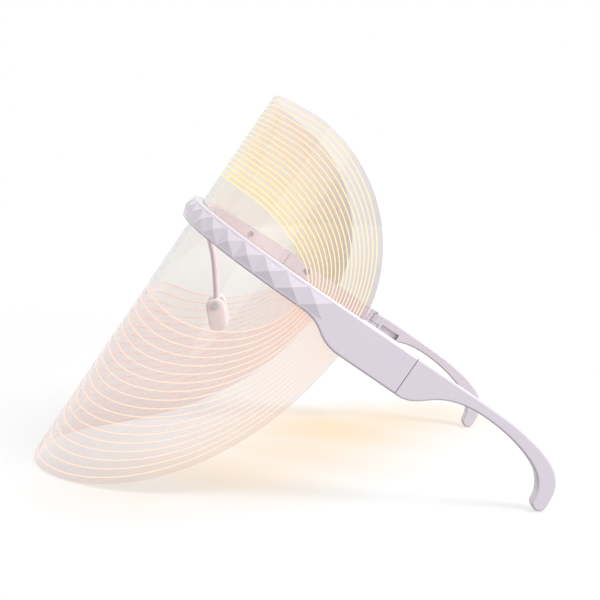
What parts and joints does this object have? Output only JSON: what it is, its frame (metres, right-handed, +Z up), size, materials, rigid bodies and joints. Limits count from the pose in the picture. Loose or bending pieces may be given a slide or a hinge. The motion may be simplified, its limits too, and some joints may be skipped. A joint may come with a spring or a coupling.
{
  "type": "led face mask",
  "caption": "Clear bent face shield with engraved glowing lines, held by a faceted wrap-round lamp bar with folding side arms and a nose piece.",
  "frame": {"origin": "middle of the object's footprint on the floor it lies on, chin edge and both arm tips at Z = 0", "axes": "+Z up, +X to the wearer's left, +Y towards the arm tips (backwards); the mask lies tilted back by about 32 degrees from how it is worn"},
  "size_m": [0.1624, 0.228, 0.1709],
  "materials": {
    "clear_acrylic": "clear flame-polished sheet with engraved lines",
    "lilac_plastic": "glossy moulded pale lilac-white plastic",
    "pink_plastic": "satin moulded pale pink-white plastic",
    "silicone": "translucent soft silicone",
    "steel": "plain turned steel",
    "flex_board": "white solder mask on polyimide",
    "led_body": "white lamp body with yellow phosphor",
    "battery_wrap": "silver foil pouch",
    "foam": "black adhesive foam",
    "board": "green solder mask",
    "chip": "black moulded resin",
    "wire": "red silicone insulation",
    "button_plastic": "glossy moulded plastic"
  },
  "bodies": {
    "mask_frame": {"light_shield": "clear_acrylic", "front_frame": "lilac_plastic", "brow_cover": "pink_plastic", "left_side_cover": "pink_plastic", "right_side_cover": "pink_plastic", "led_strip_board": "flex_board", "leds": "led_body", "battery": "battery_wrap", "battery_foam": "foam", "battery_leads": "wire", "main_board": "board", "board_chips": "chip", "board_leads": "wire", "tact_switch": "chip", "charging_socket": "steel", "cover_screws": "steel", "bracket_screws": "steel", "nose_bracket": "pink_plastic", "nose_pad_axle": "steel"},
    "left_arm": {"left_temple_arm": "lilac_plastic", "left_hinge_pin": "steel"},
    "right_arm": {"right_temple_arm": "lilac_plastic", "right_hinge_pin": "steel"},
    "left_pad": {"left_nose_pad": "silicone"},
    "right_pad": {"right_nose_pad": "silicone"},
    "button": {"power_button": "button_plastic", "switch_plunger": "steel"}
  },
  "joints": [
    {"name": "left_arm_fold", "type": "hinge", "parent": "mask_frame", "child": "left_arm", "pos_m": [0.07222, 0.05182, 0.05711], "axis": [0, 0.5301, 0.8479], "range_deg": [0, 90]},
    {"name": "right_arm_fold", "type": "hinge", "parent": "mask_frame", "child": "right_arm", "pos_m": [-0.07222, 0.05182, 0.05711], "axis": [0, -0.5301, -0.8479], "range_deg": [0, 84]},
    {"name": "left_pad_tilt", "type": "hinge", "parent": "mask_frame", "child": "left_pad", "pos_m": [0, -0.03228, 0.07312], "axis": [1, 0, 0], "range_deg": [-15, 15]},
    {"name": "right_pad_tilt", "type": "hinge", "parent": "mask_frame", "child": "right_pad", "pos_m": [0, -0.03228, 0.07312], "axis": [1, 0, 0], "range_deg": [-15, 15]},
    {"name": "button_press", "type": "slide", "parent": "mask_frame", "child": "button", "axis": [0, 0.5301, 0.8479], "range_m": [0, 0.0005], "stiffness_N_per_m": 800, "springref_m": -0.0002}
  ]
}
